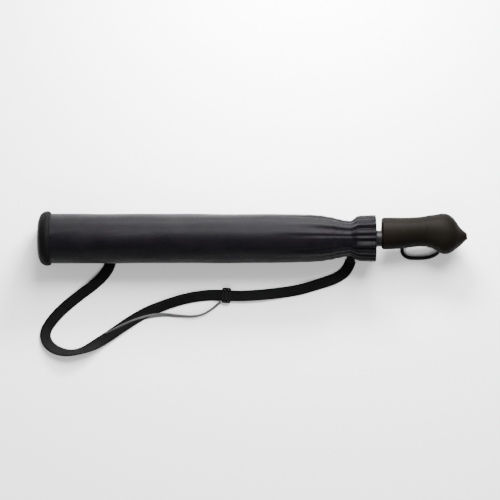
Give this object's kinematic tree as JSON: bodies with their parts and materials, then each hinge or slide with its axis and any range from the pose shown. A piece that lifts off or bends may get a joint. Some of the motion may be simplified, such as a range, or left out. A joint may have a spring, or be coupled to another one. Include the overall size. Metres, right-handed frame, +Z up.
{
  "type": "golf umbrella",
  "caption": "Folding golf umbrella in a long gathered carrying sleeve with a shoulder strap, telescopic shaft, push button and a short rubber handle with a wrist cord.",
  "frame": {"origin": "on the surface that the umbrella lies on, under the middle of the sleeve and handle", "axes": "+X along the shaft towards the handle, +Z up"},
  "size_m": [0.5844, 0.2023, 0.0708],
  "materials": {
    "sleeve_nylon": "black coated nylon with a soft satin sheen",
    "piping": "black bound edge",
    "webbing": "black woven polypropylene webbing",
    "canopy_cloth": "black pongee cloth",
    "black_plastic": "moulded nylon",
    "shaft_steel": "black painted steel",
    "rib_steel": "dark painted steel",
    "grip_rubber": "dark brown-black rubberised, matte",
    "cord": "round braided cord",
    "button_plastic": "satin moulded button"
  },
  "bodies": {
    "sleeve": {"sleeve_tube": "sleeve_nylon", "sleeve_end_cap": "sleeve_nylon", "sleeve_end_piping": "piping", "sleeve_throat": "sleeve_nylon", "mouth_elastic": "webbing", "strap_tab_closed_end": "webbing", "strap_tab_mouth": "webbing", "shoulder_strap": "webbing", "strap_tail": "webbing"},
    "slider": {"strap_slider": "black_plastic"},
    "frame": {"upper_tube": "shaft_steel", "tube_guide": "black_plastic", "ferrule_cap": "black_plastic", "crown_washer": "black_plastic", "top_notch": "black_plastic", "notch_ring": "shaft_steel", "main_ribs": "rib_steel", "outer_ribs": "rib_steel", "elbow_brackets": "shaft_steel", "stretchers": "rib_steel", "stretcher_rivets": "shaft_steel", "rib_tips": "black_plastic", "canopy": "canopy_cloth", "tie_strap": "canopy_cloth", "tie_snap": "shaft_steel"},
    "runner": {"runner": "black_plastic", "runner_ring": "shaft_steel"},
    "handle": {"lower_tube": "shaft_steel", "tube_bush": "black_plastic", "handle_core": "black_plastic", "handle_pin": "shaft_steel", "handle_grip": "grip_rubber", "handle_pommel": "grip_rubber", "wrist_cord": "cord", "button_spring": "shaft_steel"},
    "button": {"push_button": "button_plastic"}
  },
  "joints": [
    {"name": "umbrella_draw", "type": "slide", "parent": "sleeve", "child": "frame", "axis": [1, 0, 0], "range_m": [0, 0.46], "deforming": ["sleeve_throat", "mouth_elastic", "strap_tab_mouth"]},
    {"name": "shaft_telescope", "type": "slide", "parent": "frame", "child": "handle", "axis": [1, 0, 0], "range_m": [0, 0.31]},
    {"name": "runner_slide", "type": "slide", "parent": "frame", "child": "runner", "axis": [-1, 0, 0], "range_m": [0, 0.27], "deforming": ["main_ribs", "outer_ribs", "elbow_brackets", "stretchers", "stretcher_rivets", "rib_tips", "canopy"]},
    {"name": "button_press", "type": "slide", "parent": "handle", "child": "button", "axis": [0, 0, 1], "range_m": [0, 0.0024], "stiffness_N_per_m": 600, "deforming": ["button_spring"]},
    {"name": "slider_adjust", "type": "slide", "parent": "sleeve", "child": "slider", "axis": [0.9977, -0.068, 0], "range_m": [0, 0.012]}
  ]
}
